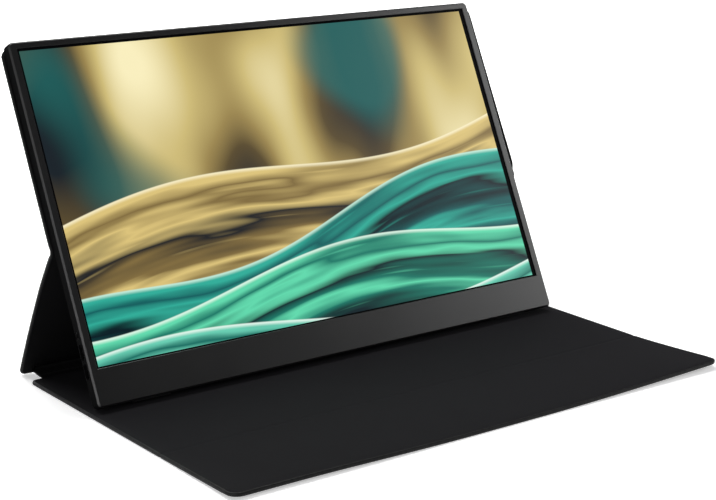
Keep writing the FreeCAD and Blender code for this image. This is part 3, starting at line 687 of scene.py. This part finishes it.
def picture(name):
    """Lit picture: soft gold light behind waves of satin, gold and then green.

    Each wave's crest is a slope plus a sine across the picture. Below the crest, a ramp of lit and dark folds
    runs down to the wave's depth, pushed up and down by noise that is drawn out along the crest.
    """
    made = Finish(name)
    where = made.place("UV")
    u, v = made.split(where)
    laid = made.node("ShaderNodeMapping", None, {"Vector": where, **GLOW_LAID})
    glow = made.noise(laid, GLOW_SCALE, detail=1.0, roughness=0.4) + (GLOW_MIDDLE - v) * GLOW_FALL
    teal = made.noise(where, TEAL_SCALE, detail=0.0).rise(*TEAL_EDGE) * TEAL_SHARE
    colour = made.mix(teal, made.ramp(glow, GLOW_STOPS), GLOW_TEAL)
    for base, slope, swing, pace, phase, depth, rim, light, body, dark in WAVES:
        crest = u * slope + (u * pace + phase).sin() * swing + base
        below = crest - v
        drawn = made.join(u * THREAD_STRETCH[0], below * THREAD_STRETCH[1])
        threads = made.noise(drawn, THREAD_SCALE, roughness=0.45) - 0.5
        drawn = made.join(u * GLINT_STRETCH[0], below * GLINT_STRETCH[1])
        glints = made.noise(drawn, GLINT_SCALE, detail=1.0).rise(*GLINT_EDGE)
        folds = (light, body, light, dark, body, light, body, dark)
        satin = made.ramp(below / depth + threads * THREAD_SWAY, tuple(zip(FOLD_PLACES, folds)))
        satin = made.mix(glints * GLINT_SHARE, satin, light)
        satin = made.mix((1 - below.rise(0.0, RIM_DEPTH)) * RIM_SHARE, satin, rim)
        colour = made.mix(below.rise(*CREST_EDGE), colour, satin)
    made.set(Base_Color=BLACK, Emission_Color=colour, Emission_Strength=1.0)
    return made.set(Roughness=0.32, Specular_IOR_Level=0.15)


# Cover: one sheet of leather cloth on the table, one up the back, and the narrow spine between them

flat_place = bent(crease, 0.0, 0.0)


def table_place(x, s, h):
    """The table sheet: flat, with the flap's front corners lifted.

    The lift grows with a power of the way from the crease. To the left it is a smooth step across the
    sheet, to the right a power of the way to the edge. In the same measure the flap's left edge flares out,
    and its front edge comes forward, by a smooth step from the left corner on.
    """
    share = np.clip(-s / flap_length, 0, None) ** LIFT_POWER
    forward = FLAP_PROUD * smooth((x + cover_half) / FLAP_PROUD_RUN)
    flare = FLAP_FLARE * np.clip(x / cover_half, -1, 0)
    points = flat_place(x + share * flare, s - share * forward, h)
    left = LIFT_LEFT * smooth((LIFT_LEFT_FROM - x) / LIFT_LEFT_RUN)
    into = np.clip((x - LIFT_RIGHT_FROM) / (cover_half - LIFT_RIGHT_FROM), 0, 1)
    points[..., 2] += share * (left + LIFT_RIGHT * into**LIFT_RIGHT_POWER)
    return points


fold_back = bent(apex, strut_turn, upper_turn, back_middle)


def back_place(x, s, h):
    """The back sheet: folded at the apex, with the strut bowed outwards by a parabola between its folds.

    The right half of the upper panel is drawn out sideways, by a share of the way to the edge. The edge goes
    out in a straight line from the top towards the fold, and back in by a smooth step just above it. The
    strut's left half is drawn out in the same way, by a smooth step down from the fold.
    """
    down = np.clip(-s / strut_length, 0, 1)
    up = np.clip(s / upper_length, 0, 1)
    proud = BACK_PROUD_FOLD + (BACK_PROUD_TOP - BACK_PROUD_FOLD) * up
    proud = proud * smooth((s - BACK_PROUD_FROM) / BACK_PROUD_ROUND)
    strut_proud = STRUT_PROUD * smooth(-s / STRUT_PROUD_ROUND)
    wider = x + proud * np.clip(x / back_half, 0, 1) + strut_proud * np.clip(x / back_half, -1, 0)
    return fold_back(wider, s, h - 4 * STRUT_BOW * down * (1 - down))


def lined_sheet(name, half, near, far, fold_dent, place):
    """A leather sheet and the lining on its inner side."""
    skin = sheet(name + "_leather", half, PANEL_T, EDGE_R, near, far, [0.0], place, 0.0, [fold_dent])

    def inset(end, inward):
        line, radius, middle = end
        strip = middle and (middle[0] + LINING_INSET, middle[1] + inward * LINING_INSET)
        return (line + inward * LINING_INSET, max(radius - LINING_INSET, LINING_INSET), strip)

    level = PANEL_T / 2 + LINING_PROUD - LINING_T / 2
    cloth = sheet(name + "_lining", half - LINING_INSET, LINING_T, LINING_EDGE_R, inset(near, 1),
                  inset(far, -1), [0.0], place, level, [fold_dent])
    return skin, cloth


spine_wide = spine_half + SPINE_PROUD
strip_edge = spine_half + EAR_GAP
table_leather, table_lining = lined_sheet(
    "table_sheet", cover_half, (-flap_length, FLAP_CORNER_R, None),
    (base_length - BASE_EAR, BASE_CORNER_R, (strip_edge, base_length - FOLD_STOP)),
    (0.0, CREASE_DEPTH, CREASE_HALF), table_place)
back_leather, back_lining_painted_shade = lined_sheet(
    "back_sheet", back_half,
    (-strut_length + STRUT_EAR, STRUT_CORNER_R, (strip_edge, -strut_length + FOLD_STOP)),
    (upper_length, UPPER_CORNER_R, None),
    (0.0, APEX_DEPTH, APEX_HALF), back_place)
spine_place = bent(rear, spine_turn, spine_turn, spine_middle)
spine_near = (FOLD_STOP, SPINE_CORNER_R, None)
spine_far = (spine_length - FOLD_STOP, SPINE_CORNER_R, None)
spine_leather = sheet("spine_leather", spine_wide, SPINE_T, EDGE_R, spine_near, spine_far, [], spine_place)
strip_reach = FOLD_STOP + STRIP_TUCK
strip_end = (strip_reach, SPINE_CORNER_R, None)
strip_start = (-strip_reach, SPINE_CORNER_R, None)
rear_strip = sheet("rear_fold_strip", spine_wide, STRIP_T, STRIP_T / 2, strip_start, strip_end, [0.0],
                   bent(rear, 0.0, spine_turn, spine_middle))
foot_strip = sheet("foot_fold_strip", spine_wide, STRIP_T, STRIP_T / 2, strip_start, strip_end, [0.0],
                   bent(foot, spine_turn, strut_turn, spine_middle))


def before(pivot, turn):
    """Where a fold starts: its reach ahead of the pivot on a slope."""
    return (0.0, pivot[1] - FOLD_REACH * math.cos(turn), pivot[2] - FOLD_REACH * math.sin(turn))


def after(pivot, turn):
    """Where a fold ends: its reach past the pivot on a slope."""
    return (0.0, pivot[1] + FOLD_REACH * math.cos(turn), pivot[2] + FOLD_REACH * math.sin(turn))


for piece in (table_leather, table_lining):
    after(crease, 0)
    before(crease, 0)
    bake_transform(piece)
for piece in (back_leather, back_lining_painted_shade):
    before(apex, strut_turn)
    after(apex, upper_turn)
    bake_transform(piece)
before(rear, 0)
after(rear, spine_turn)
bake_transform(rear_strip)
before(foot, spine_turn)
after(foot, strut_turn)
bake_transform(foot_strip)
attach(spine_leather, "spine")
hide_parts("base_skin", "flap_skin", "flap_board", "flap_magnets")
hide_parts("base_lining", "flap_lining")
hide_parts("strut_skin", "strut_board", "upper_skin")
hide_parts("strut_lining", "upper_lining")
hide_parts("spine_skin", "spine_lining")

# Lit picture, a flat grid just in front of the glass

columns_n, rows_n = PICTURE_GRID
u, v = np.meshgrid(np.linspace(0, 1, columns_n), np.linspace(0, 1, rows_n))
glass_low = glass_middle - screen_up * ((glass - glass_middle) @ screen_up).max()
glass_front = screen_out * ((glass - glass_middle) @ screen_out).max()
picture_low = glass_low + glass_front + screen_up * PICTURE_FOOT + screen_out * PICTURE_OFF
picture_low = picture_low + PICTURE_SHIFT * screen_across
across = (u[..., None] - 0.5) * PICTURE_W * screen_across
points = picture_low + across + v[..., None] * PICTURE_H * screen_up
numbers = np.arange(u.size).reshape(u.shape)
picture_uv = np.stack([u * PICTURE_W / PICTURE_H, v], -1)
screen_picture = make_mesh("screen_picture", points.reshape(-1, 3), quads(numbers), picture_uv.reshape(-1, 2))
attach(screen_picture, "display")

# Finishes on the pieces

# Each finish with its slot and the pieces or CAD nodes that have it
finishes = [
    (leather("leather_cloth"), "cover_skin",
     [table_leather, back_leather, spine_leather, rear_strip, foot_strip]),
    (brushed_cloth("table_lining", (0.0109, 0.0105, 0.0122)), "cover_lining", [table_lining]),
    # The back lining is the table lining's cloth, painted about three times darker as shade
    (brushed_cloth("back_lining_painted_shade", (0.0035, 0.0035, 0.0039)), "cover_lining", [back_lining_painted_shade]),
    (picture("lit_picture"), "screen", [screen_picture]),
    (glass_black("panel_glass"), "screen", ["lcd_panel"]),
    (bezel_plastic("bezel_plastic"), "bezel_plastic", ["front_bezel"]),
    (plastic("casing_plastic", CASING_COLOUR, CASING_ROUGHNESS, grain=0.3 * MM, depth=0.02 * MM,
             specular=CASING_SPECULAR), "casing_plastic", ["rear_casing"]),
    (plastic("key_plastic", (0.010, 0.010, 0.0105), roughness=0.42, grain=0.2 * MM, depth=0.01 * MM,
             specular=0.4), "button_plastic", ["power_button", "up_button", "down_button"]),
    (plastic("foot_rubber", (0.010, 0.010, 0.010), roughness=0.75, grain=0.25 * MM, depth=0.02 * MM,
             specular=0.1), "foot_rubber", ["rubber_feet"]),
    (plastic("socket_black", (0.006, 0.006, 0.006), roughness=0.5, grain=0.2 * MM, depth=0.01 * MM,
             specular=0.4), "socket_black", ["audio_socket", "usb_c_tongues"]),
    (plastic("chip_black", (0.012, 0.012, 0.012), roughness=0.55, grain=0.15 * MM, depth=0.01 * MM,
             specular=0.4), "chip", ["board_chips", "button_switches"]),
    (metal("socket_steel", (0.55, 0.55, 0.56), roughness=0.28, grain=0.1 * MM), "socket_steel",
     ["usb_c_sockets"]),
    (metal("tray_metal", (0.45, 0.45, 0.46), roughness=0.4, grain=0.4 * MM), "tray_metal", ["panel_tray"]),
    (metal("screw_steel", (0.5, 0.5, 0.5), roughness=0.35, grain=0.1 * MM), "screw_steel", ["board_screws"]),
    (metal("magnet_nickel", (0.5, 0.49, 0.47), roughness=0.3, grain=0.3 * MM), "magnet",
     ["casing_magnets", "upper_magnets", "seat_magnets"]),
    (board("board_green", (0.01, 0.07, 0.035), track=(0.03, 0.14, 0.06)), "circuit_board",
     ["main_board", "driver_board", "button_board", "light_bar"]),
    (sheet_film("flex_amber", (0.32, 0.15, 0.03), roughness=0.35), "flex_film",
     ["driver_flexes", "panel_cable", "button_ribbon"]),
    (sheet_film("film_white", (0.8, 0.8, 0.8), roughness=0.5), "film", ["optical_films", "reflector_sheet"]),
    (sheet_film("guide_clear", (0.7, 0.72, 0.74), roughness=0.15), "light_guide", ["light_guide"]),
    (sheet_film("grey_board", (0.2, 0.19, 0.17), roughness=0.85), "cover_board",
     ["base_board", "spine_board", "upper_board"]),
]
for finish, slot, pieces in finishes:
    for piece in pieces:
        shown = nodes[piece] if isinstance(piece, str) else piece
        shown.data.materials.clear()
        shown.data.materials.append(finish.block)

# Studio: pale floor, soft lamps and camera

FLOOR_HALF = 12.0
FLOOR_STEPS = 9
FLOOR_COLOUR = (0.9, 0.9, 0.9)
GLOW_NEAR = 0.42
GLOW_RISE = (0.35, 0.9)
HORIZON = (0.10, 0.24)
WORLD_DIM = (0.05, 0.05, 0.05)

# Lamps: name, place, width and height, power in watts; all are aimed at one point
LAMP_AIM = (0.0, 0.0, 0.1)
LAMPS = (
    ("top_lamp", (0.1, 0.9, 2.0), (2.0, 1.4), 45.0),
    ("right_lamp", (1.42, -0.75, 0.68), (0.6, 0.95), 9.4),
    ("left_lamp", (-1.39, -0.85, 0.63), (0.4, 0.8), 9.0),
    ("back_lamp", (0.05, 1.7, 0.6), (0.9, 0.8), 17.0),
)

floor_line = np.linspace(-FLOOR_HALF, FLOOR_HALF, FLOOR_STEPS)
floor_x, floor_y = np.meshgrid(floor_line, floor_line)
floor_points = np.stack([floor_x, floor_y, np.zeros_like(floor_x)], -1)
floor_numbers = np.arange(floor_x.size).reshape(floor_x.shape)
floor = make_mesh("floor", floor_points.reshape(-1, 3), quads(floor_numbers))
paper = Finish("floor_paper")
paper.set(Base_Color=FLOOR_COLOUR, Roughness=0.9, Specular_IOR_Level=0.1)
away = paper.length(paper.place()).rise(*GLOW_RISE)
glow = paper.seen() * (GLOW_NEAR + away * (1 - GLOW_NEAR))
white = paper.node("ShaderNodeEmission", None, {"Color": WHITE, "Strength": 1.0})
black = paper.node("ShaderNodeEmission", None, {"Color": BLACK, "Strength": 1.0})
veil = paper.node("ShaderNodeMixShader", None, {0: glow, 1: black, 2: white})
paper.surface(paper.node("ShaderNodeAddShader", None, {0: paper.main_shader(), 1: veil}))
floor.data.materials.append(paper.block)

world = bpy.data.worlds.new("studio")
bpy.context.scene.world = world
air = Finish("studio", world)
heading = air.node("ShaderNodeSeparateXYZ", None, {"Vector": air.place("Generated")}, "Z")
tone = air.mix(air.seen() * (1 - heading.rise(*HORIZON)), WORLD_DIM, WHITE)
backdrop = next(node for node in air.tree.nodes if node.type == "BACKGROUND")
air.feed(backdrop.inputs["Color"], tone)
air.feed(backdrop.inputs["Strength"], 1.0)


def lamp(name, at, towards, size, power):
    """Soft rectangular lamp aimed at a point."""
    light = bpy.data.lights.new(name, "AREA")
    light.shape = "RECTANGLE"
    light.size, light.size_y = size
    light.energy = power
    made = bpy.data.objects.new(name, light)
    made.location = at
    made.rotation_euler = (Vector(towards) - Vector(at)).to_track_quat("-Z", "Y").to_euler()
    bpy.context.scene.collection.objects.link(made)


for name, at, size, power in LAMPS:
    lamp(name, at, LAMP_AIM, size, power)

camera_data = bpy.data.cameras.new("camera")
camera_data.sensor_width = SENSOR
camera_data.lens = SENSOR * FOCAL_SHARE
camera = bpy.data.objects.new("camera", camera_data)
azimuth = math.radians(CAMERA_AZIMUTH)
elevation = math.radians(CAMERA_ELEVATION)
roll = math.radians(CAMERA_ROLL)
forward = Vector((math.sin(azimuth) * math.cos(elevation), math.cos(azimuth) * math.cos(elevation),
                  -math.sin(elevation)))
level = Vector((math.cos(azimuth), -math.sin(azimuth), 0.0))
upright = level.cross(forward)
right = level * math.cos(roll) + upright * math.sin(roll)
up = upright * math.cos(roll) - level * math.sin(roll)
camera.matrix_world = Matrix.Translation(CAMERA_AT) @ Matrix((right, up, -forward)).transposed().to_4x4()
bpy.context.scene.collection.objects.link(camera)
bpy.context.scene.camera = camera
bpy.context.scene.view_settings.view_transform = "Standard"
